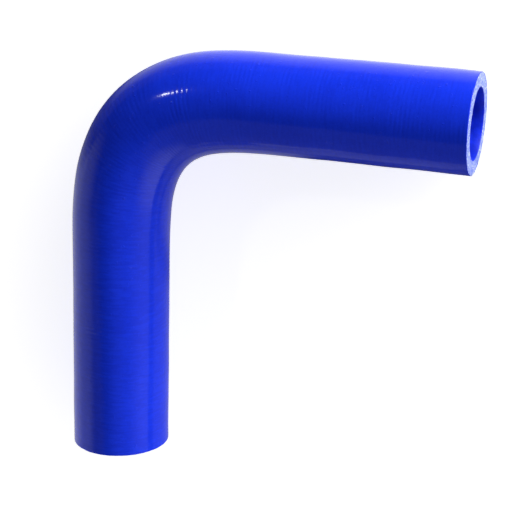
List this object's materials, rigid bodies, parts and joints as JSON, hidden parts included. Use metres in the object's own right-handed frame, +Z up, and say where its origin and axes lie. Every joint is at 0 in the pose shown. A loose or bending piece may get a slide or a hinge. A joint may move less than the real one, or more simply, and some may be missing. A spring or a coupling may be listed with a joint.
{
  "type": "silicone elbow hose",
  "caption": "Right-angle silicone rubber hose: a thick-walled round tube with two straight legs, gentle bend and square-cut open ends, for joining two pipes at a corner.",
  "frame": {"origin": "the middle of the footprint, on the surface that the hose lies on", "axes": "+Z up; the hose lies on its side with both legs flat on the surface, the short leg's cut end faces +X and the long leg's cut end faces -Y"},
  "size_m": [0.1116, 0.1156, 0.027],
  "materials": {
    "blue_silicone": "satin, fine wrap marks round the hose"
  },
  "bodies": {
    "root": {"elbow_hose": "blue_silicone"}
  },
  "joints": []
}
